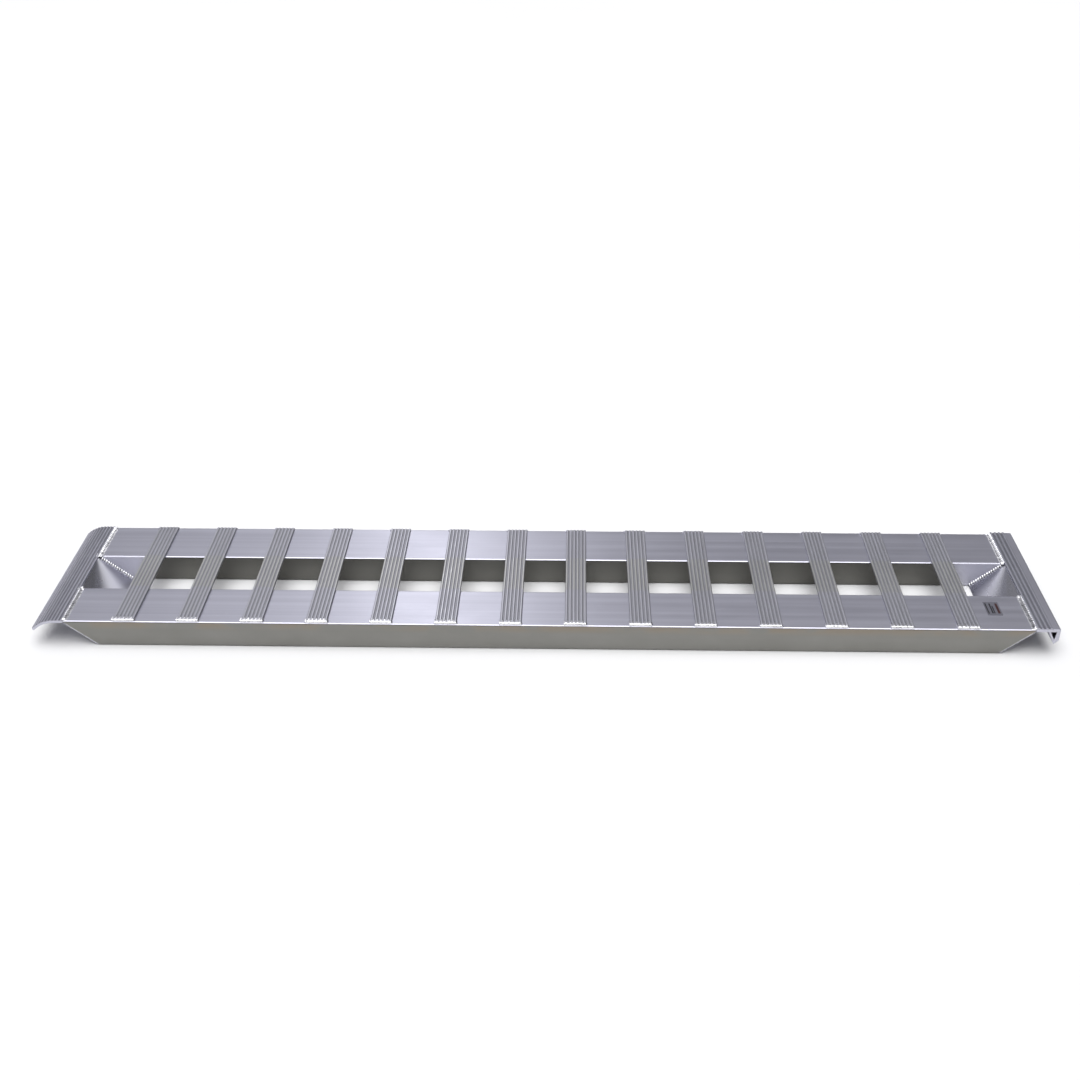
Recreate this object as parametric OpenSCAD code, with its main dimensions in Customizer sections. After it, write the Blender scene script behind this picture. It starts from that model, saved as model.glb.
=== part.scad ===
// Hook-end loading ramp: two hollow rails tied together by ribbed rungs, with a
// curved approach lip at one end and a hook bar at the other, all welded up.
// Millimetres, +Z up, +X from the lip to the hook. The origin is under the middle
// of the ramp, on the ground that the flat undersides of the rails rest on.

/* [Deck] */
// Overall length, from the tip of the lip to the nose of the hook
overall_length = 2142; // [2120:1:2500]
// Width over both rails
deck_width = 381; // [340:1:440]
// Number of rungs
rung_count = 14; // [8:1:14]
// Spacing of the rungs, centre to centre
rung_pitch = 135.3; // [100:0.1:136]
// First rung's centre, measured from the inner edge of the lip
first_rung = 128.5; // [120:0.5:140]

/* [Rails] */
// Width of one rail
rail_width = 127; // [100:1:140]
// Height of one rail
rail_height = 60.3; // [54:0.1:70]
// Wall thickness of a rail
rail_wall = 3.2; // [2.5:0.1:5]
// Outside corner radius of a rail
rail_corner = 3.6; // [3:0.1:6]
// Slope of both rail ends, from the ground
end_slope = 40; // [38:0.5:44]

/* [Rungs] */
// Width of a rung along the ramp
rung_width = 45; // [42:0.5:48]
// Thickness of a rung under its ridges
rung_base = 3.9; // [3:0.1:6]
// Height of a rung's tread ridges
rung_ridge_height = 1.6; // [1:0.1:2.5]
// Number of ridges on a rung
rung_ridges = 6; // [5:1:6]
// Distance from a rung's end to the outer face of the rail
rung_inset = 5.5; // [5.5:0.5:10]

/* [Approach lip] */
// Level reach of the lip, from its inner edge to its tip
lip_reach = 68.3; // [62:0.1:72]
// Flat stretch before the lip curves down
lip_flat = 19; // [15:0.5:24]
// Radius of the lip's upper surface
lip_radius = 68.5; // [66:0.5:90]
// Thickness of the lip under its ridges
lip_thickness = 6; // [5:0.1:7]
// Height of the lip's upper surface over the rail tops
lip_rise = 1.2; // [1:0.1:3]
// Number of ridges on the lip
lip_ridges = 10; // [8:1:11]

/* [Hook bar] */
// Length of the hook bar along the ramp
hook_length = 49.2; // [46:0.1:56]
// Thickness of the hook bar's top plate under its ridges
hook_thickness = 7.5; // [7:0.1:9]
// Height of the hook bar's top over the rail tops
hook_rise = 2.8; // [2:0.1:3.3]
// Depth of the hook's tooth below the rail tops
tooth_depth = 34.7; // [30:0.1:40]
// Width of the tooth where it meets the top plate
tooth_root = 24.2; // [23:0.1:26]
// Number of ridges on the hook bar
hook_ridges = 4; // [3:1:4]

/* [End plates and label] */
// Thickness of the sloped end plates
plate_thickness = 4; // [3:0.1:6]
// Distance from an end plate's side edge to the outer face of the rail
plate_inset = 1.4; // [1:0.1:3]
// Length of the rating label along the ramp
label_length = 31.5; // [20:0.5:40]
// Width of the rating label across the ramp
label_width = 49.5; // [30:0.5:60]

/* [Hidden] */
$fn = 48;

half_length = overall_length / 2;
half_width = deck_width / 2;
gap_half = half_width - rail_width;
rail_y = half_width - rail_width / 2;
lip_edge_x = -half_length + lip_reach;
hook_edge_x = half_length - hook_length;

// Each rail end slopes up and out from its foot on the ground until it is under
// the inner edge of the lip or hook bar, then stands upright against that edge.
// The end plates lie on the slopes, with their tops under the lip and hook bar.
slope_lap = 2;
lip_under = rail_height + lip_rise - lip_thickness;
hook_under = rail_height + hook_rise - hook_thickness;
lip_foot_x = lip_edge_x + slope_lap + lip_under / tan(end_slope);
hook_foot_x = hook_edge_x - slope_lap - hook_under / tan(end_slope);
plate_run = plate_thickness / sin(end_slope);
plate_toe = 2;

// Tread ridges: base width, crest width and height
rung_ridge = [5.5, 3.5, rung_ridge_height];
lip_ridge = [4.9, 3, 1.4];
hook_ridge = [5.6, 3.4, 2];
hook_ridge_step = 9.1;
rung_ridge_step = (rung_width - rung_ridge[0]) / (rung_ridges - 1);

lip_tip_radius = lip_thickness / 2;
lip_sweep = asin((lip_reach - lip_flat - lip_tip_radius) / (lip_radius - lip_tip_radius));
lip_top_length = lip_flat + lip_radius * lip_sweep * PI / 180;
lip_ridge_step = (lip_top_length - lip_ridge[0]) / (lip_ridges - 1);

nose_radius = 2;
nose_bevel = 9.6;

// Walls round the tooth's hollow: inner face, nose, toe, and the lean of the nose wall
inner_wall = 4.5;
nose_wall = 7.3;
toe_wall = 10.8;
nose_lean = 2.4;

// Fillet welds: how far each one spreads and how high it climbs; the plates' outer
// runs fill this share of the recess beside the plate
rung_bead = [4.9, 4.6];
lip_bead = [9, 2.2];
hook_bead = [9.5, 3.2];
plate_bead = 5.5;
recess_fill = 0.8;
bead_end_gap = 1;
skirt = 3;

label_x = hook_edge_x - 70.5;
label_y = -half_width + 77.4;
label_thickness = 0.3;

function rung_name(i) = str("rung_", i < 10 ? "0" : "", i);
function rung_x(i) = lip_edge_x + first_rung + (i - 1) * rung_pitch;

// Four corners of a tread ridge whose middle is at x, from its low side up and over
function ridge_points(x, ridge) = [
    [x - ridge[0] / 2, 0],
    [x - ridge[1] / 2, ridge[2]],
    [x + ridge[1] / 2, ridge[2]],
    [x + ridge[0] / 2, 0]
];

// Place on the lip, s along its upper surface from the inner edge and h above it
function lip_place(s, h) =
    let (turn = max(0, s - lip_flat) / lip_radius * 180 / PI)
    [
        -min(s, lip_flat) - (lip_radius + h) * sin(turn),
        lip_rise - lip_radius + (lip_radius + h) * cos(turn)
    ];

// Turns an outline in X and Z into a bar of this width lying across the ramp
module across(width) {
    translate([0, width / 2, 0])
        rotate([90, 0, 0])
            linear_extrude(height = width)
                children();
}

// Turns an outline in Y and Z into a bar of this length along the ramp
module along(length) {
    translate([-length / 2, 0, 0])
        rotate([90, 0, 90])
            linear_extrude(height = length)
                children();
}

// Puts a shape at the foot of a sloped end, with its +X pointing out of the ramp
module at_lip_foot() {
    translate([lip_foot_x, 0, 0]) mirror([1, 0, 0]) children();
}

module at_hook_foot() {
    translate([hook_foot_x, 0, 0]) children();
}

module rounded_section(width, height, radius) {
    translate([-width / 2 + radius, 0]) square([width - 2 * radius, height]);
    translate([-width / 2, radius]) square([width, height - 2 * radius]);
    for (x = [-1, 1], y = [radius, height - radius])
        translate([x * (width / 2 - radius), y]) circle(radius);
}

// Outside of one rail before its ends are cut; side is 1 for left, -1 for right
module rail_bar(side) {
    translate([0, side * rail_y, 0])
        along(overall_length)
            rounded_section(rail_width, rail_height, rail_corner);
}

module rail_side_view() {
    lip_top = (lip_foot_x - lip_edge_x) * tan(end_slope);
    hook_top = (hook_edge_x - hook_foot_x) * tan(end_slope);
    polygon([
        [lip_foot_x, 0],
        [hook_foot_x, 0],
        [hook_edge_x, hook_top],
        [hook_edge_x, rail_height],
        [lip_edge_x, rail_height],
        [lip_edge_x, lip_top]
    ]);
}

module rail(side) {
    color([0.74, 0.74, 0.77])
        intersection() {
            difference() {
                rail_bar(side);
                translate([0, side * rail_y, 0])
                    along(overall_length + 2)
                        translate([-rail_width / 2 + rail_wall, rail_wall])
                            square([rail_width - 2 * rail_wall, rail_height - 2 * rail_wall]);
            }
            across(deck_width) rail_side_view();
        }
}

module rung(i) {
    first = -(rung_width - rung_ridge[0]) / 2;
    tops = [
        for (k = [0 : rung_ridges - 1], p = ridge_points(first + k * rung_ridge_step, rung_ridge))
            [p[0], rung_base + p[1]]
    ];
    color([0.62, 0.62, 0.64])
        translate([rung_x(i), 0, rail_height])
            across(deck_width - 2 * rung_inset)
                polygon(concat([[rung_width / 2, 0], [-rung_width / 2, 0]], tops));
}

module approach_lip() {
    tops = [
        for (k = [0 : lip_ridges - 1], p = ridge_points(lip_ridge[0] / 2 + k * lip_ridge_step, lip_ridge))
            lip_place(p[0], p[1])
    ];
    tip_middle = lip_place(lip_top_length, -lip_tip_radius);
    tip = [
        for (t = [15 : 15 : 165])
            tip_middle + lip_tip_radius * [-sin(t + lip_sweep), cos(t + lip_sweep)]
    ];
    steps = 14;
    underside = [
        for (k = [steps : -1 : 0])
            lip_place(lip_flat + k / steps * (lip_top_length - lip_flat), -lip_thickness)
    ];
    color([0.6, 0.6, 0.63])
        translate([lip_edge_x, 0, rail_height])
            across(deck_width)
                polygon(concat(tops, tip, underside, [[0, lip_rise - lip_thickness]]));
}

// The hook bar's outline starts at its inner edge: ridged top plate, rounded nose,
// bevelled toe, and the tooth's sloped inner face. The tooth is hollow.
module hook_bar() {
    under = hook_rise - hook_thickness;
    tops = [
        for (k = [0 : hook_ridges - 1], p = ridge_points(hook_ridge[0] / 2 + k * hook_ridge_step, hook_ridge))
            [p[0], hook_rise + p[1]]
    ];
    nose = [
        for (t = [90 : -15 : 0])
            [hook_length - nose_radius, hook_rise - nose_radius] + nose_radius * [cos(t), sin(t)]
    ];
    color([0.6, 0.6, 0.63])
        translate([hook_edge_x, 0, rail_height])
            across(deck_width)
                difference() {
                    polygon(concat([[0, under]], tops, nose, [
                        [hook_length, -tooth_depth + nose_bevel],
                        [hook_length - nose_bevel, -tooth_depth],
                        [hook_length - tooth_root, under]
                    ]));
                    polygon([
                        [hook_length - tooth_root + inner_wall, under],
                        [hook_length - nose_wall, under],
                        [hook_length - nose_wall - nose_lean, -tooth_depth + toe_wall]
                    ]);
                }
}

// Side view of an end plate whose top is cut level at this height
module plate_side_view(under) {
    edge = slope_lap + under / tan(end_slope);
    polygon([
        [plate_toe, 0],
        [plate_run, 0],
        [under / tan(end_slope) + plate_run, under],
        [edge, under],
        [edge, edge * tan(end_slope)],
        [plate_toe, plate_toe * tan(end_slope)]
    ]);
}

module end_plate(under) {
    color([0.7, 0.7, 0.73])
        across(deck_width - 2 * plate_inset)
            plate_side_view(under);
}

// Quarter-oval fillet with a skirt below it that follows whatever it is cut by
module fillet_outline(legs) {
    polygon(concat(
        [[0, -skirt], [legs[0], -skirt]],
        [for (t = [0 : 15 : 90]) [legs[0] * cos(t), legs[1] * sin(t)]]
    ));
}

module rung_welds(side) {
    color([0.85, 0.85, 0.87])
        for (i = [1 : rung_count])
            difference() {
                translate([rung_x(i), side * (half_width - rung_inset), rail_height])
                    rotate([0, 0, side > 0 ? 0 : 180])
                        along(rung_width)
                            fillet_outline(rung_bead);
                rail_bar(side);
            }
}

// One bead on each rail, filling in from the edge of the lip or hook bar
module edge_welds(legs) {
    for (side = [-1, 1])
        difference() {
            translate([0, side * rail_y, rail_height])
                across(rail_width - 2 * bead_end_gap)
                    fillet_outline(legs);
            translate([-lip_edge_x, 0, 0]) rail_bar(side);
        }
}

module lip_welds() {
    color([0.85, 0.85, 0.87])
        translate([lip_edge_x, 0, 0]) edge_welds(lip_bead);
}

module hook_welds() {
    color([0.85, 0.85, 0.87])
        translate([hook_edge_x, 0, 0]) mirror([1, 0, 0]) edge_welds(hook_bead);
}

// Beads of one end plate: a fillet up each rail's inner face in the gap, and a thin
// run in the recess between each rail's outer face and the plate's side edge.
module plate_welds(under) {
    low = plate_toe * tan(end_slope);
    color([0.85, 0.85, 0.87])
        for (side = [-1, 1]) {
            intersection() {
                translate([0, side * gap_half, 0])
                    rotate([0, 90 - end_slope, 0])
                        linear_extrude(height = 2 * under)
                            polygon([[0, 0], [-plate_bead, 0], [0, -side * plate_bead]]);
                translate([-half_width, -half_width, low])
                    cube([deck_width, deck_width, under - low]);
            }
            translate([0, side * (half_width - plate_inset / 2), 0])
                across(plate_inset * recess_fill)
                    polygon([
                        [low / tan(end_slope), low],
                        [low / tan(end_slope) + plate_run / 2, low],
                        [under / tan(end_slope) + plate_run / 2, under],
                        [under / tan(end_slope), under]
                    ]);
        }
}

module rating_label() {
    color([0.5, 0.5, 0.53])
        translate([label_x - label_length / 2, label_y - label_width / 2, rail_height])
            cube([label_length, label_width, label_thickness]);
}

rail(1);  // left_rail
rail(-1);  // right_rail
for (i = [1 : rung_count]) {
    rung(i);
}
approach_lip();
hook_bar();
at_lip_foot() end_plate(lip_under);  // lip_end_plate
at_hook_foot() end_plate(hook_under);  // hook_end_plate
rung_welds(1);  // left_rung_welds
rung_welds(-1);  // right_rung_welds
lip_welds();
hook_welds();
at_lip_foot() plate_welds(lip_under);  // lip_plate_welds
at_hook_foot() plate_welds(hook_under);  // hook_plate_welds
rating_label();
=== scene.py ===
"""A straight welded aluminium loading ramp with a curved lip and a hook, in a small studio."""

import math
import random

import bmesh
import bpy
from mathutils import Matrix, Vector


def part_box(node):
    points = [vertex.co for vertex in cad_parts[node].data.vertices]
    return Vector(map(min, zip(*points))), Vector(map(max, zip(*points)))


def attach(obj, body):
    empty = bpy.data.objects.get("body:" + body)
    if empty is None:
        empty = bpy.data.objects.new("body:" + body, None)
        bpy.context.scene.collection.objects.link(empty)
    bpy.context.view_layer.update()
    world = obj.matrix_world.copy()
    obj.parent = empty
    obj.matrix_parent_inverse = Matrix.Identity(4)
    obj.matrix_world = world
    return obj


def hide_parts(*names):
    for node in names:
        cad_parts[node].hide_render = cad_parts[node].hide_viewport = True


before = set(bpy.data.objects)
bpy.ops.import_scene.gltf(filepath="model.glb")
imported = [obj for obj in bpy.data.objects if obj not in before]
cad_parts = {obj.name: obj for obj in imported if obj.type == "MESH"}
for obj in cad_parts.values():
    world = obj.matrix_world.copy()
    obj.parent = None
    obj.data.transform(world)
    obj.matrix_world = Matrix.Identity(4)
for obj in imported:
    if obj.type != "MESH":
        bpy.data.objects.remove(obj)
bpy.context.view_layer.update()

# ---------------------------------------------------------------------------------------
# The studio: a wide pale floor, one scrim overhead, a narrow and a wide softbox high
# behind the ramp, and a surround that is brighter overhead and on the left.
# ---------------------------------------------------------------------------------------
view = bpy.data.cameras.new("camera")
view.sensor_width = 36
view.lens = 44.68
camera = bpy.data.objects.new("camera", view)
bpy.context.collection.objects.link(camera)
bpy.context.scene.camera = camera
yaw, tilt, roll = math.radians(-1.711), math.radians(31.668), math.radians(-0.452)
ahead = Vector((math.sin(yaw) * math.cos(tilt), math.cos(yaw) * math.cos(tilt), -math.sin(tilt)))
level = Vector((math.cos(yaw), -math.sin(yaw), 0))
upright = level.cross(ahead)
across = math.cos(roll) * level + math.sin(roll) * upright
upright = math.cos(roll) * upright - math.sin(roll) * level
camera.matrix_world = Matrix.Translation((0.06835, -2.4647, 1.6728)) @ Matrix(
    (across, upright, -ahead)
).transposed().to_4x4()

bpy.context.scene.view_settings.view_transform = "Standard"


def softbox(name, place, aim, size, watts, tint):
    """An area light of this size, in metres, that faces a point."""
    lamp = bpy.data.lights.new(name, "AREA")
    lamp.shape = "RECTANGLE"
    lamp.size, lamp.size_y = size
    lamp.energy = watts
    lamp.color = tint
    holder = bpy.data.objects.new(name, lamp)
    bpy.context.collection.objects.link(holder)
    holder.location = place
    holder.rotation_euler = (Vector(aim) - Vector(place)).to_track_quat("-Z", "Y").to_euler()


softbox("softbox_back", (-0.68, 3.35, 2.5), (-0.24, 0, 0), (0.55, 1.0), 5.8, (0.97, 0.97, 1))
softbox("softbox_wide", (-1.0, 3.7, 2.7), (-0.35, 0, 0), (2.4, 1.0), 2.8, (0.95, 0.95, 1))

scrim = bpy.data.lights.new("overhead_scrim", "SUN")
scrim.energy = 2.3
scrim.angle = math.radians(65)
holder = bpy.data.objects.new("overhead_scrim", scrim)
bpy.context.collection.objects.link(holder)
holder.rotation_euler = (math.radians(8), 0, 0)


class Wire:
    """A socket that sums, scales and compares like a number, adding Math nodes as it goes."""

    def __init__(self, finish, socket):
        self.finish, self.socket = finish, socket

    def math(self, operation, left, right=None):
        values = {0: left} if right is None else {0: left, 1: right}
        return self.finish.node("Math", {"operation": operation}, values)

    def __add__(self, other):
        return self.math("ADD", self, other)

    def __radd__(self, other):
        return self.math("ADD", other, self)

    def __sub__(self, other):
        return self.math("SUBTRACT", self, other)

    def __rsub__(self, other):
        return self.math("SUBTRACT", other, self)

    def __mul__(self, other):
        return self.math("MULTIPLY", self, other)

    def __rmul__(self, other):
        return self.math("MULTIPLY", other, self)

    def __truediv__(self, other):
        return self.math("DIVIDE", self, other)

    def __rtruediv__(self, other):
        return self.math("DIVIDE", other, self)

    def __pow__(self, other):
        return self.math("POWER", self, other)

    def __gt__(self, other):
        return self.math("GREATER_THAN", self, other)

    def __lt__(self, other):
        return self.math("LESS_THAN", self, other)

    def __abs__(self):
        return self.math("ABSOLUTE", self)

    def part(self, axis):
        return self.finish.node("SeparateXYZ", {}, {"Vector": self}, axis)

    x = property(lambda self: self.part("X"))
    y = property(lambda self: self.part("Y"))
    z = property(lambda self: self.part("Z"))


class Nodes:
    """Shader nodes in one tree, each made by node() from its settings and sockets."""

    def __init__(self, tree, shader):
        self.tree, self.shader = tree, tree.nodes[shader]

    def node(self, kind, settings, sockets, out=0):
        made = self.tree.nodes.new("ShaderNode" + kind)
        for key, value in settings.items():
            setattr(made, key, value)
        for key, value in sockets.items():
            if isinstance(value, Wire):
                self.tree.links.new(value.socket, made.inputs[key])
            else:
                made.inputs[key].default_value = value
        return Wire(self, made.outputs[out])

    def spot(self):
        """Where a point is on the ramp."""
        return self.node("TexCoord", {}, {}, "Object")

    def facing(self):
        """Which way the surface faces."""
        return self.node("TexCoord", {}, {}, "Normal")

    def grain(self, scale, detail=3.0, rough=0.55):
        """Noise about 0.5, on a stretched copy of the ramp's own coordinates."""
        stretched = self.node("Mapping", {}, {"Vector": self.spot(), "Scale": scale})
        sockets = {"Vector": stretched, "Scale": 1.0, "Detail": detail, "Roughness": rough}
        return self.node("TexNoise", {}, sockets, "Fac")

    def spread(self, value, low, high, to_low=0.0, to_high=1.0):
        """Maps low..high onto to_low..to_high with soft ends, and clamps it."""
        sockets = {"Value": value, 1: low, 2: high, 3: to_low, 4: to_high}
        return self.node("MapRange", {"interpolation_type": "SMOOTHSTEP"}, sockets)

    def blend(self, share, first, second):
        """A colour that is first where share is 0 and second where it is 1."""
        def paint(shade):
            return shade if isinstance(shade, Wire) else (*shade, 1)

        sockets = {0: share, 6: paint(first), 7: paint(second)}
        return self.node("Mix", {"data_type": "RGBA"}, sockets, 2)

    def give(self, socket, value):
        if isinstance(value, Wire):
            self.tree.links.new(value.socket, self.shader.inputs[socket])
        else:
            self.shader.inputs[socket].default_value = value


class Finish(Nodes):
    """A finish for a piece: one Principled shader."""

    def __init__(self, name, metallic=1.0):
        self.material = bpy.data.materials.new(name)
        self.material.use_nodes = True
        super().__init__(self.material.node_tree, "Principled BSDF")
        self.give("Metallic", metallic)

    def bump(self, height, depth):
        sockets = {"Height": height, "Distance": depth, "Strength": 1.0}
        self.give("Normal", self.node("Bump", {}, sockets))


sky = bpy.data.worlds.new("sky")
bpy.context.scene.world = sky
sky.use_nodes = True
air = Nodes(sky.node_tree, "Background")
toward = air.node("TexCoord", {}, {}, "Generated")
air.give("Color", (0.96, 0.96, 1, 1))
air.give("Strength", air.spread(toward.z, 0.42, 0.66, 0.13, 0.62) * (1 - toward.x * 0.6))

floor_finish = Finish("studio_floor", metallic=0.0)
cloud = floor_finish.grain((0.8, 0.8, 0.8), 2.0)
floor_finish.give("Base Color", floor_finish.blend(cloud, (0.86, 0.86, 0.86), (0.89, 0.89, 0.89)))
floor_finish.give("Roughness", 0.85)
bpy.ops.mesh.primitive_plane_add(size=60, location=(0, 0, -0.0002))
floor = bpy.context.object
floor.name = "studio_floor"
floor.data.materials.append(floor_finish.material)

# ---------------------------------------------------------------------------------------
# The rails: two hollow rectangular extrusions that carry the load. They are drawn through
# a die, which leaves fine streaks along them, and their ends are sawn to the ramp's slope.
# ---------------------------------------------------------------------------------------
MM = 0.001
rail_low, rail_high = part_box("right_rail")
rail_top = rail_high.z
rail_width = rail_high.y - rail_low.y
half_width = -rail_low.y
gap_half = half_width - rail_width
wall = 3.2 * MM
corner = 3.6 * MM
lip_edge, hook_edge = rail_low.x, rail_high.x
slope_lap = 2 * MM
slope_angle = math.radians(40)
slope = math.tan(slope_angle)


def finish_mesh(name, maker, finish, nodes, smooth_below=35):
    """Turns a bmesh into a piece that rides on the ramp and stands for these nodes."""
    bmesh.ops.recalc_face_normals(maker, faces=maker.faces)
    mesh = bpy.data.meshes.new(name)
    maker.to_mesh(mesh)
    maker.free()
    piece = bpy.data.objects.new(name, mesh)
    bpy.context.collection.objects.link(piece)
    mesh.shade_smooth()
    mesh.set_sharp_from_angle(angle=math.radians(smooth_below))
    mesh.materials.append(finish.material)
    flat = piece.modifiers.new("flat_faces_stay_flat", "WEIGHTED_NORMAL")
    flat.keep_sharp = True
    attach(piece, "root")
    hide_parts(*nodes)


def slope_end(height, under, edge, way):
    """X of a sloped rail end at a height: out along the slope, then upright at the edge."""
    foot = edge - way * (slope_lap + under / slope)
    return way * min(way * edge, way * (foot + way * height / slope))


lip_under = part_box("lip_end_plate")[1].z
hook_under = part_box("hook_end_plate")[1].z


def rail_outline(inset, radius, steps):
    """Points round a rail's section from its middle, inset from the outside all round."""
    wide, tall = rail_width / 2 - inset, rail_top / 2 - inset
    corners = ((1, 1, 0), (-1, 1, 90), (-1, -1, 180), (1, -1, 270))
    points = []
    for side_y, side_z, start in corners:
        middle = Vector((side_y * (wide - radius), side_z * (tall - radius)))
        for k in range(steps + 1):
            turn = math.radians(start + 90 * k / steps)
            points.append(middle + radius * Vector((math.cos(turn), math.sin(turn))))
    return points


def slice_outline(points, heights):
    """Adds points where the outline crosses these heights."""
    out = []
    for a, b in zip(points, points[1:] + points[:1]):
        out.append(a)
        cuts = [h for h in heights if min(a.y, b.y) + 1e-7 < h < max(a.y, b.y) - 1e-7]
        cuts.sort(key=lambda h: abs(h - a.y))
        out += [a.lerp(b, (h - a.y) / (b.y - a.y)) for h in cuts]
    return out


rail_finish = Finish("rail_metal")
spot = rail_finish.spot()
deck = rail_finish.spread(rail_finish.facing().z, 0.35, 0.8)
streaks = rail_finish.grain((0.5, 190, 190), 2.0)
bands = rail_finish.grain((0.8, 70, 70), 3.0)
clouds = rail_finish.grain((9, 14, 14), 3.0)
speckle = rail_finish.grain((420, 420, 420), 2.0)
scuffs = rail_finish.spread(rail_finish.grain((26, 60, 60), 5.0, 0.7), 0.62, 0.75)
web_tone = rail_finish.blend(clouds, (0.225, 0.222, 0.205), (0.31, 0.307, 0.29))
inner = rail_finish.spread(abs(spot.y), gap_half + 1 * MM, gap_half + 3 * MM, 1.0, 0.0)
# Painted shade: the webs facing the gap are painted darker.
web_tone = rail_finish.blend(inner, web_tone, (0.17, 0.168, 0.155))
# Painted light: the web facing the gap is painted paler, and less metallic, beside the end plates.
middle_x = (lip_edge + hook_edge) / 2
half_length = (hook_edge - lip_edge) / 2
from_middle = abs(spot.x - middle_x) + (spot.z - rail_top) * 0.6
lit_beside_plates = inner * rail_finish.spread(from_middle, half_length - 150 * MM, half_length - 85 * MM)
web_tone = rail_finish.blend(lit_beside_plates, web_tone, (0.72, 0.72, 0.82))
rail_finish.give("Metallic", 1 - lit_beside_plates * 0.45)
# Faint straw-coloured patches under the upper edge of the outer web.
straw = rail_finish.spread(spot.z, rail_top - 24 * MM, rail_top - 6 * MM)
straw = straw * rail_finish.spread(clouds, 0.38, 0.6) * (1 - inner)
web_tone = rail_finish.blend(straw * 0.7, web_tone, (0.30, 0.255, 0.20))
deck_tone = rail_finish.blend(bands * 0.65 + streaks * 0.35, (0.44, 0.44, 0.51), (0.69, 0.69, 0.78))
# Painted reflection: the deck is painted paler and bluish, the webs darker and olive. The bands and
# streaks on the deck are the die's.
tone = rail_finish.blend(deck, web_tone, deck_tone)
rail_finish.give("Base Color", rail_finish.blend(scuffs * deck * 0.15, tone, (0.8, 0.8, 0.84)))
rail_finish.give(
    "Roughness", 0.36 + (1 - deck) * 0.12 + (bands - 0.5) * 0.12 + (clouds - 0.5) * 0.10
)
rail_finish.bump(streaks * 0.8 + speckle * 0.2, 0.00004)


def build_rail(name, side, node):
    heights = [
        lip_under - rail_top / 2, hook_under - rail_top / 2,
        lip_under + slope_lap * slope - rail_top / 2,
        hook_under + slope_lap * slope - rail_top / 2,
    ]
    maker = bmesh.new()
    skins = []
    for inset, radius, steps in ((0, corner, 8), (wall, 0.6 * MM, 3)):
        outline = slice_outline(rail_outline(inset, radius, steps), heights)
        rings = []
        for under, edge, way in ((lip_under, lip_edge, -1), (hook_under, hook_edge, 1)):
            ring = []
            for point in outline:
                height = point.y + rail_top / 2
                place = slope_end(height, under, edge, way)
                middle = side * (half_width - rail_width / 2)
                ring.append(maker.verts.new((place, middle + point.x, height)))
            rings.append(ring)
        count = len(outline)
        for k in range(count):
            n = (k + 1) % count
            maker.faces.new((rings[0][k], rings[0][n], rings[1][n], rings[1][k]))
        skins.append(rings)
    for end in (0, 1):
        edges = []
        for ring in (skins[0][end], skins[1][end]):
            for a, b in zip(ring, ring[1:] + ring[:1]):
                edges.append(maker.edges.get((a, b)))
        bmesh.ops.triangle_fill(maker, edges=edges, use_beauty=True)
    finish_mesh(name, maker, rail_finish, [node])


build_rail("rail_left", 1, "left_rail")
build_rail("rail_right", -1, "right_rail")

# ---------------------------------------------------------------------------------------
# The rungs: ribbed flat extrusions sawn to length and laid across both rails. Six ribs
# along each give the tyres grip; the saw leaves the ends square, the die rounds the ribs.
# ---------------------------------------------------------------------------------------
RUNG_COUNT = sum(1 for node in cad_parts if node.startswith("rung_"))
RUNG_RIBS = 6
rib_base, rib_crest, rib_height = 5.5 * MM, 3.5 * MM, 1.6 * MM
rung_low, rung_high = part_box("rung_01")
rung_width = rung_high.x - rung_low.x
rung_plate = rung_high.z - rung_low.z - rib_height


def soften(points, radius, steps=3):
    """Rounds each corner of an outline whose radius is given, by a short curve."""
    out = []
    count = len(points)
    for k, point in enumerate(points):
        size = radius[k] if isinstance(radius, list) else radius
        back, on = points[k - 1] - point, points[(k + 1) % count] - point
        cut = min(size, back.length * 0.45, on.length * 0.45)
        if cut < 1e-6:
            out.append(point)
            continue
        a, b = point + back.normalized() * cut, point + on.normalized() * cut
        for s in range(steps + 1):
            t = s / steps
            out.append(a * (1 - t) ** 2 + point * 2 * t * (1 - t) + b * t ** 2)
    return out


def ribs(count, first, step, base, crest, height, place):
    """Corners of a row of ribs; place turns a distance and a height into a point."""
    out = []
    for k in range(count):
        middle = first + k * step
        for offset, rise in ((-base / 2, 0), (-crest / 2, height), (crest / 2, height), (base / 2, 0)):
            out.append(place(middle + offset, rise))
    return out


def extrude_across(outlines, low, high, bevel, name, finish, nodes):
    """A bar lying across the ramp. The first outline is its outside, others are hollows.
    Its sawn ends are broken by a small bevel."""
    maker = bmesh.new()
    stations = ((low, bevel), (low + bevel, 0), (high - bevel, 0), (high, bevel))
    ends = [[], []]
    for number, outline in enumerate(outlines):
        area = sum(a.x * b.y - b.x * a.y for a, b in zip(outline, outline[1:] + outline[:1]))
        way = (1 if area > 0 else -1) * (1 if number == 0 else -1)
        rings = []
        for station, shrink in stations:
            ring = []
            for k, point in enumerate(outline):
                tangent = (outline[(k + 1) % len(outline)] - outline[k - 1]).normalized()
                inward = Vector((-tangent.y, tangent.x))
                moved = point + inward * way * shrink
                ring.append(maker.verts.new((moved.x, station, moved.y)))
            rings.append(ring)
        count = len(outline)
        for near, far in zip(rings, rings[1:]):
            for k in range(count):
                n = (k + 1) % count
                maker.faces.new((near[k], near[n], far[n], far[k]))
        for end, ring in ((0, rings[0]), (1, rings[-1])):
            ends[end] += [maker.edges.get((a, b)) for a, b in zip(ring, ring[1:] + ring[:1])]
    for edges in ends:
        bmesh.ops.triangle_fill(maker, edges=edges, use_beauty=True)
    finish_mesh(name, maker, finish, nodes, 28)


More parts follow.
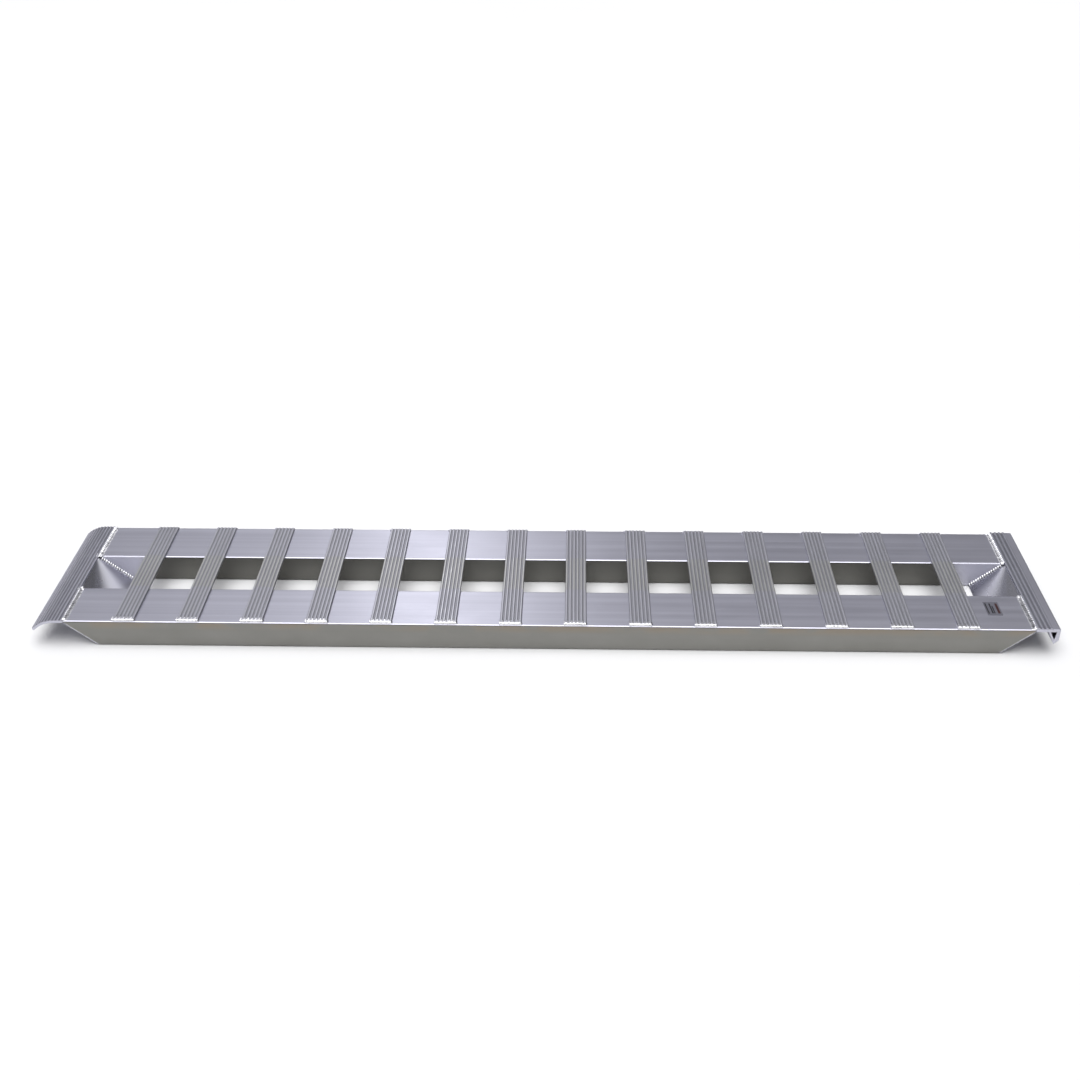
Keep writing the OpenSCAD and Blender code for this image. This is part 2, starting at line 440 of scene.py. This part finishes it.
rung_finish = Finish("rung_metal")
spot = rung_finish.spot()
lines = rung_finish.grain((420, 1.5, 420), 3.0, 0.6)
clouds = rung_finish.grain((16, 9, 16), 4.0)
crown = rung_finish.spread(spot.z, rung_high.z - 1.6 * MM, rung_high.z - 0.5 * MM)
worn = rung_finish.spread(rung_finish.grain((60, 30, 60), 5.0, 0.7), 0.45, 0.7)
over_gap = rung_finish.spread(abs(spot.y), gap_half - 6 * MM, gap_half + 4 * MM, 1.0, 0.0)
crest_tone = rung_finish.blend(over_gap, (0.62, 0.62, 0.70), (0.62, 0.62, 0.585))
tone = rung_finish.blend(lines, (0.50, 0.50, 0.53), crest_tone)
# Painted shade: below the rib crowns, the flanks and valleys are painted darker.
tone = rung_finish.blend(1 - crown, tone, (0.40, 0.40, 0.435))
rung_finish.give("Base Color", rung_finish.blend(crown * worn * 0.35, tone, (0.62, 0.62, 0.64)))
rung_finish.give("Roughness", 0.42 + (lines - 0.5) * 0.18 + (clouds - 0.5) * 0.14 - crown * worn * 0.08)
rung_finish.bump(lines, 0.00005)

for number in range(1, RUNG_COUNT + 1):
    node = f"rung_{number:02d}"
    low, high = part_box(node)
    middle = (low.x + high.x) / 2
    step = (rung_width - rib_base) / (RUNG_RIBS - 1)
    tops = ribs(
        RUNG_RIBS, -(rung_width - rib_base) / 2, step, rib_base, rib_crest, rib_height,
        lambda s, h: Vector((middle + s, low.z + rung_plate + h)),
    )
    foot = [Vector((high.x, low.z)), Vector((low.x, low.z))]
    outline = soften(foot + tops, [0.4 * MM] * 2 + [0.7 * MM] * len(tops))
    extrude_across(
        [outline], low.y, high.y, 0.3 * MM, f"tread_{number:02d}", rung_finish, [node]
    )

# ---------------------------------------------------------------------------------------
# The approach lip: a ribbed extrusion that curves down to the ground so that a tyre rolls
# on without a bump. It is welded along the rails' upper edge and stops in a round tip.
# ---------------------------------------------------------------------------------------
LIP_RIBS = 10
lip_rise, lip_thick, lip_flat, lip_radius = 1.2 * MM, 6 * MM, 19 * MM, 68.5 * MM
lip_reach = 68.3 * MM
lip_rib = (4.9 * MM, 3 * MM, 1.4 * MM)
tip = lip_thick / 2
lip_sweep = math.asin((lip_reach - lip_flat - tip) / (lip_radius - tip))
lip_length = lip_flat + lip_radius * lip_sweep


def on_lip(s, h):
    """A point s along the lip's upper surface from its inner edge, and h above it."""
    turn = max(0, s - lip_flat) / lip_radius
    return Vector((
        lip_edge - min(s, lip_flat) - (lip_radius + h) * math.sin(turn),
        rail_top + lip_rise - lip_radius + (lip_radius + h) * math.cos(turn),
    ))


def end_bar_metal(name, height_over_root, crest):
    """Extruded bar: lines along the die, bright rib crests, and painted shade that darkens the root
    between ribs.
    """
    finish = Finish(name)
    height = height_over_root(finish.spot())
    lines = finish.grain((380, 1.5, 380), 3.0, 0.6)
    clouds = finish.grain((18, 10, 18), 4.0)
    worn = finish.spread(finish.grain((60, 26, 60), 5.0, 0.7), 0.5, 0.72)
    tone = finish.blend(lines, (0.47, 0.47, 0.535), (0.60, 0.60, 0.68))
    # Painted shade: the root between the ribs is painted dark.
    groove = finish.spread(height, -0.6 * MM, -0.2 * MM)
    groove = groove * finish.spread(height, 0.2 * MM, crest, 1.0, 0.0)
    tone = finish.blend(groove * 0.75, tone, (0.22, 0.22, 0.25))
    finish.give("Base Color", finish.blend(worn * 0.25, tone, (0.55, 0.55, 0.60)))
    finish.give("Roughness", 0.40 + (lines - 0.5) * 0.16 + (clouds - 0.5) * 0.14)
    finish.bump(lines, 0.00005)
    return finish


def over_lip(spot):
    """Height over the lip's upper surface, measured square to its curve."""
    out = spot.math("MAXIMUM", lip_edge - lip_flat - spot.x, 0)
    up = spot.z - (rail_top + lip_rise - lip_radius)
    return (out * out + up * up) ** 0.5 - lip_radius


lip_finish = end_bar_metal("lip_metal", over_lip, 1.2 * MM)

tops = ribs(LIP_RIBS, lip_rib[0] / 2, (lip_length - lip_rib[0]) / (LIP_RIBS - 1), *lip_rib, on_lip)
tip_middle = on_lip(lip_length, -tip)
nose = []
for k in range(1, 12):
    turn = math.radians(180 * k / 12) + lip_sweep
    nose.append(tip_middle + tip * Vector((-math.sin(turn), math.cos(turn))))
under = [on_lip(lip_flat + k / 24 * (lip_length - lip_flat), -lip_thick) for k in range(24, -1, -1)]
under.append(Vector((lip_edge, rail_top + lip_rise - lip_thick)))
outline = soften(tops, [0] + [0.6 * MM] * (len(tops) - 2) + [0]) + nose + under
extrude_across(
    [outline], -half_width, half_width, 0.4 * MM, "lip", lip_finish, ["approach_lip"]
)

# ---------------------------------------------------------------------------------------
# The hook bar: one extrusion with a ribbed top plate and a hollow three-sided tooth that
# drops behind the trailer's edge. Its nose is rounded and its toe is bevelled.
# ---------------------------------------------------------------------------------------
HOOK_RIBS = 4
hook_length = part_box("hook_bar")[1].x - hook_edge
hook_rise, hook_thick = 2.8 * MM, 7.5 * MM
tooth_depth, tooth_root, toe_bevel = 34.7 * MM, 24.2 * MM, 9.6 * MM
inner_wall, nose_wall, toe_wall, nose_lean = 4.5 * MM, 7.3 * MM, 10.8 * MM, 2.4 * MM
hook_rib = (5.6 * MM, 3.4 * MM, 2 * MM)
hook_rib_step = 9.1 * MM
last_rib = hook_edge + hook_rib[0] + (HOOK_RIBS - 1) * hook_rib_step


def on_hook(s, h):
    return Vector((hook_edge + s, rail_top + h))


def over_hook(spot):
    """Height over the hook's top plate; its plain nose has no ribs and gets no painted shade."""
    return spot.z - (rail_top + hook_rise) - 1000 * spot.math("MAXIMUM", spot.x - last_rib, 0)


hook_finish = end_bar_metal("hook_metal", over_hook, 1.7 * MM)

level_under = hook_rise - hook_thick
outside = [on_hook(0, level_under)]
outside += ribs(
    HOOK_RIBS, hook_rib[0] / 2, hook_rib_step, *hook_rib, lambda s, h: on_hook(s, hook_rise + h)
)
outside += [
    on_hook(hook_length, hook_rise),
    on_hook(hook_length, -tooth_depth + toe_bevel),
    on_hook(hook_length - toe_bevel, -tooth_depth),
    on_hook(hook_length - tooth_root, level_under),
]
rounding = [0.4 * MM] + [0.7 * MM] * (4 * HOOK_RIBS) + [3 * MM, 1.2 * MM, 1 * MM, 1.2 * MM]
hollow = [
    on_hook(hook_length - tooth_root + inner_wall, level_under),
    on_hook(hook_length - nose_wall, level_under),
    on_hook(hook_length - nose_wall - nose_lean, -tooth_depth + toe_wall),
]
extrude_across(
    [soften(outside, rounding, 4), soften(hollow, 0.8 * MM)],
    -half_width, half_width, 0.4 * MM, "hook", hook_finish, ["hook_bar"],
)

# ---------------------------------------------------------------------------------------
# The end plates: smooth flat sheet laid on the sloped rail ends from side to side. Welded
# on, they close the rails. A paler fan, a painted reflection, spreads down each one from
# the upper end of its left-hand weld.
# ---------------------------------------------------------------------------------------
plate_thick, plate_toe = 4 * MM, 2 * MM
plate_run = plate_thick / math.sin(slope_angle)
plate_finish = Finish("end_plate_metal")
rolled = plate_finish.grain((7, 90, 7), 3.0, 0.55)
clouds = plate_finish.grain((14, 14, 14), 3.0)
spot = plate_finish.spot()
from_seam = (gap_half - spot.y) / ((rail_top + plate_thick) - spot.z)
# Painted reflection: a paler, less metallic fan down from the upper end of the seam.
reflection_fan = plate_finish.spread(from_seam, 0.4, 1.3) * plate_finish.spread(from_seam, 1.6, 3.6, 1.0, 0.0)
reflection_fan = reflection_fan * plate_finish.spread(spot.x, lip_edge, hook_edge, 1.0, 0.5)
tone = plate_finish.blend(rolled, (0.42, 0.42, 0.48), (0.51, 0.51, 0.58))
# Painted reflection: the hook's plate, and the plate far from the seam, are painted darker.
tone = plate_finish.blend(plate_finish.spread(spot.x, lip_edge, hook_edge) * 0.5, tone, (0.2, 0.2, 0.24))
tone = plate_finish.blend(plate_finish.spread(from_seam, 3.2, 6.0) * 0.6, tone, (0.26, 0.26, 0.28))
plate_finish.give("Base Color", plate_finish.blend(reflection_fan, tone, (0.93, 0.93, 1.0)))
plate_finish.give("Metallic", 0.85 - reflection_fan * 0.3)
plate_finish.give("Roughness", 0.28 + (clouds - 0.5) * 0.12)
plate_finish.bump(rolled, 0.00003)

for name, node, under, edge, way in (
    ("closing_plate_lip", "lip_end_plate", lip_under, lip_edge, -1),
    ("closing_plate_hook", "hook_end_plate", hook_under, hook_edge, 1),
):
    low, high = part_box(node)
    foot = edge - way * (slope_lap + under / slope)
    reach = slope_lap + under / slope
    side_view = [
        (plate_toe, 0), (plate_run, 0), (under / slope + plate_run, under),
        (reach, under), (reach, reach * slope),
        (plate_toe, plate_toe * slope),
    ]
    outline = soften([Vector((foot + way * s, h)) for s, h in side_view], 0.35 * MM)
    extrude_across([outline], low.y, high.y, 0.35 * MM, name, plate_finish, [node])

# ---------------------------------------------------------------------------------------
# The weld beads: laid in overlapping puddles, which leaves a row of round ripples.
# They are bright silver with patches of soot; the dips between puddles are painted dark, as painted
# shade.
# ---------------------------------------------------------------------------------------
weld_finish = Finish("weld_metal")
pits = weld_finish.grain((700, 700, 700), 3.0)
soot = weld_finish.spread(weld_finish.grain((120, 120, 120), 3.0), 0.52, 0.72)
notch = weld_finish.node("Attribute", {"attribute_name": "notch"}, {}, "Fac")
tone = weld_finish.blend(soot * 0.35, (0.92, 0.92, 0.95), (0.42, 0.42, 0.43))
# Painted shade: the notch layer paints the dips between puddles near black.
weld_finish.give("Base Color", weld_finish.blend(notch, tone, (0.10, 0.10, 0.115)))
weld_finish.give("Roughness", 0.30 + (pits - 0.5) * 0.25)
weld_finish.bump(pits, 0.00015)
chance = random.Random(14)


def notch_layer(maker):
    """The layer that holds how dark each point is painted, as shade in the notches and dips."""
    layers = maker.verts.layers.float
    return layers.get("notch") or layers.new("notch")


def bead(maker, start, end, side, rise, section, pitch, swell, notch_shade=1.0, valley=None, lead=0.0):
    """A rippled bead from start to end. section is its outline, as distances along side and
    rise; each puddle swells it, and lags in the middle as the torch moves on. The dips
    between puddles are painted dark as shade; valley is where along side the bead's toe dips
    and is painted dark as shade too; lead is the share of the first puddle that is skipped."""
    layer = notch_layer(maker)
    run = end - start
    length = run.length
    travel_way = run.normalized()
    steps = max(16, round(length / pitch * 8))
    sizes = [chance.uniform(-1, 1) for _ in range(round(length / pitch) + 3)]
    drift = [chance.uniform(-1, 1) for _ in sizes]
    wide = max(a for a, b in section)
    tall = max(b for a, b in section)
    rings = []
    for k in range(steps + 1):
        t = k / steps
        travel = lead + t * length / pitch
        puddle = travel - math.floor(travel)
        dip = 1 - math.sin(math.pi * puddle) ** 0.6
        uneven = sizes[int(travel)] * (1 - puddle) + sizes[int(travel) + 1] * puddle
        size = (1 - swell * dip) * (0.94 + 0.06 * uneven)
        shift = side * 0.12 * wide * (drift[int(travel)] * (1 - puddle) + drift[int(travel) + 1] * puddle)
        from_end = min(t, 1 - t) * length / (0.6 * max(wide, tall))
        closing = math.sqrt(max(0.03, 1 - (1 - min(1, from_end)) ** 2))
        for_ring = []
        for a, b in section:
            crown_share = max(0, b / tall) * min(1, from_end)
            lag = crown_share * pitch * 0.3
            grow = size * closing if b > 0 else closing
            place = start + travel_way * (t * length - lag) + shift * crown_share
            vert = maker.verts.new(place + side * a * grow + rise * b * grow)
            # Painted shade in the dips between puddles, and along the toe's valley.
            painted_shade = notch_shade * min(1, 1.5 * dip) * (0.6 + 0.4 * uneven) if b > 0 else 0
            vert[layer] = max(painted_shade, 0.62) if valley and valley[0] < a < valley[1] else painted_shade
            for_ring.append(vert)
        rings.append(for_ring)
    around = len(section)
    for near, far in zip(rings, rings[1:]):
        for j in range(around):
            n = (j + 1) % around
            maker.faces.new((near[j], near[n], far[n], far[j]))
    maker.faces.new(rings[0])
    maker.faces.new(rings[-1])


def puddles(maker, middle, reach, count, size):
    """A heap of puddles where beads meet or stop, each one a lumpy dome."""
    layer = notch_layer(maker)
    for _ in range(count):
        shift = Vector((chance.uniform(-1, 1) * reach.x, chance.uniform(-1, 1) * reach.y, 0))
        wide = size * chance.uniform(0.8, 1.15)
        made = bmesh.ops.create_icosphere(maker, subdivisions=3, radius=1)
        for vert in made["verts"]:
            lump = 1 + 0.13 * math.sin(5 * vert.co.x + 9 * shift.x / MM) * math.cos(4 * vert.co.y)
            # Painted shade: each dome is painted darker towards its foot.
            vert[layer] = 0.5 * max(0, 0.3 - vert.co.z)
            vert.co = middle + shift + lump * Vector((
                wide * vert.co.x, wide * vert.co.y, 0.72 * size * vert.co.z
            ))


def section_through(points, steps=3):
    """A smooth closed outline through corners given in millimetres."""
    return [(p.x, p.y) for p in soften([Vector(p) * MM for p in points], 3 * MM, steps)]


ALONG, ACROSS, UP = Vector((1, 0, 0)), Vector((0, 1, 0)), Vector((0, 0, 1))

# Fillets at the rungs' ends; the right ones also lap over the rungs.
RIGHT_RUNG = section_through([
    (4.9, -0.3), (4.9, 3.2), (3.2, 5.3), (0.4, 5.45), (-4.6, 5.4), (-9.2, 5.0), (-9.8, 1), (0, -0.3),
])
LEFT_RUNG = section_through([
    (4.6, -0.3), (4.2, 1.8), (2.2, 3.6), (0.6, 4.2), (-0.8, 3.8), (-1, 1), (0, -0.3),
])
LIP_SECTION = section_through([
    (8.6, -0.3), (8.5, 1.1), (7.4, 1.1), (5.6, 0.4), (3.0, 2.0),
    (0.8, 3.6), (-1.4, 3.6), (-2.4, 2.0), (-2.4, -0.6),
])
HOOK_SECTION = section_through([
    (8.8, -0.3), (8.7, 1.2), (7.6, 1.2), (5.6, 0.5), (3.2, 2.6),
    (1.2, 4.4), (-1.0, 4.6), (-2.0, 3.0), (-2.0, -0.6),
])
TOE_DIP = (3.4 * MM, 7.2 * MM)
CORNER_SECTION = section_through([(5.2, -0.3), (4.0, 2.4), (2.4, 4.0), (-0.3, 5.2), (-0.3, -0.3)])
SEAM_SECTION = section_through([(2.0, -0.4), (1.4, 1.2), (-0.3, 1.3), (-1.8, 1.2), (-2.2, -0.4)])
STUB_SECTION = section_through([(1.9, -0.6), (1.5, 1.2), (0, 1.9), (-1.5, 1.2), (-1.9, -0.6)])

for name, node, side, section in (
    ("rung_beads_left", "left_rung_welds", 1, LEFT_RUNG),
    ("rung_beads_right", "right_rung_welds", -1, RIGHT_RUNG),
):
    maker = bmesh.new()
    pitch = (rung_width - rib_base) / (RUNG_RIBS - 1)
    for number in range(1, RUNG_COUNT + 1):
        low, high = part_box(f"rung_{number:02d}")
        end_y = high.y if side > 0 else low.y
        skipped = chance.uniform(0.2, 0.4)
        start = Vector((low.x + rib_base / 2 - (1 - skipped) * pitch, end_y, rail_top))
        end = Vector((high.x - rib_base / 2 + chance.uniform(0.55, 0.75) * pitch, end_y, rail_top))
        bead(maker, start, end, ACROSS * side, UP, section, pitch, 0.12, 0.15, None, skipped)
    finish_mesh(name, maker, weld_finish, [node], 60)

for name, node, edge, way, section in (
    ("lip_beads", "lip_welds", lip_edge, 1, LIP_SECTION),
    ("hook_beads", "hook_welds", hook_edge, -1, HOOK_SECTION),
):
    maker = bmesh.new()
    for side in (-1, 1):
        outer, inner_end = side * (half_width - 1 * MM), side * (gap_half - 1 * MM)
        start, end = Vector((edge, outer, rail_top)), Vector((edge, inner_end, rail_top))
        bead(maker, start, end, ALONG * way, UP, section, 6.4 * MM, 0.5, 1.3, TOE_DIP)
        heap = Vector((edge + way * 1 * MM, side * (half_width - 5.6 * MM), rail_top + 1 * MM))
        puddles(maker, heap, Vector((3.5 * MM, 1.6 * MM)), 4, 2.8 * MM)
        heap = Vector((edge + way * 1 * MM, side * (gap_half + 3 * MM), rail_top + 0.6 * MM))
        puddles(maker, heap, Vector((6.5 * MM, 5 * MM)), 7, 2.9 * MM)
        if way < 0:
            start = Vector((hook_edge - 10 * MM, side * (half_width - 2.4 * MM), rail_top - 0.6 * MM))
            end = Vector((hook_edge + 7 * MM, side * (half_width - 2.2 * MM), rail_top + 3.4 * MM))
            bead(maker, start, end, ACROSS * side, UP, STUB_SECTION, 5 * MM, 0.1, 0.1)
    finish_mesh(name, maker, weld_finish, [node], 60)

for name, node, under, edge, way in (
    ("lip_plate_beads", "lip_plate_welds", lip_under, lip_edge, -1),
    ("hook_plate_beads", "hook_plate_welds", hook_under, hook_edge, 1),
):
    foot = edge - way * (slope_lap + under / slope)
    up_slope = Vector((way / slope, 0, 1)).normalized()
    inward = Vector((-way * up_slope.z, 0, way * up_slope.x))
    maker = bmesh.new()
    for side in (-1, 1):
        start = Vector((foot, side * gap_half, 0)) + up_slope * 3 * MM
        end = start + up_slope * (under - 2.5 * MM) / up_slope.z
        bead(maker, start, end, inward, ACROSS * -side, CORNER_SECTION, 5.6 * MM, 0.45)
        start = Vector((foot, side * (half_width - 1.6 * MM), 0)) + up_slope * 5 * MM
        end = start + up_slope * (under - 7 * MM) / up_slope.z
        bead(maker, start, end, inward, ACROSS * side, SEAM_SECTION, 4.6 * MM, 0.35, 0.6)
    finish_mesh(name, maker, weld_finish, [node], 60)

# ---------------------------------------------------------------------------------------
# The rating label: a small printed foil stuck on the right rail near the hook. Its print
# here is only plain bars.
# ---------------------------------------------------------------------------------------
label_low, label_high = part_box("rating_label")
label_finish = Finish("label_foil", metallic=0.35)
spot = label_finish.spot()
across_label = (spot.y - label_low.y) / (label_high.y - label_low.y)
along_label = (spot.x - label_low.x) / (label_high.x - label_low.x)


def bar(x0, x1, y0, y1):
    """1 inside this share of the label and 0 outside it."""
    return (along_label > x0) * (along_label < x1) * (across_label > y0) * (across_label < y1)


dark = bar(0.08, 0.17, 0.12, 0.9) + bar(0.34, 0.44, 0.14, 0.88) + bar(0.48, 0.56, 0.14, 0.7)
dull_red = bar(0.74, 0.9, 0.14, 0.88)
tone = label_finish.blend(dark, (0.16, 0.16, 0.19), (0.02, 0.02, 0.025))
label_finish.give("Base Color", label_finish.blend(dull_red, tone, (0.055, 0.02, 0.02)))
label_finish.give("Roughness", 0.4 + (label_finish.grain((300, 300, 300)) - 0.5) * 0.1)

maker = bmesh.new()
rim = soften([
    Vector((label_low.x, label_low.y)), Vector((label_high.x, label_low.y)),
    Vector((label_high.x, label_high.y)), Vector((label_low.x, label_high.y)),
], 2 * MM, 5)
levels = [[maker.verts.new((p.x, p.y, h)) for p in rim] for h in (label_low.z, label_high.z)]
for k in range(len(rim)):
    n = (k + 1) % len(rim)
    maker.faces.new((levels[0][k], levels[0][n], levels[1][n], levels[1][k]))
maker.faces.new(levels[0])
maker.faces.new(levels[1])
finish_mesh("label", maker, label_finish, ["rating_label"], 30)
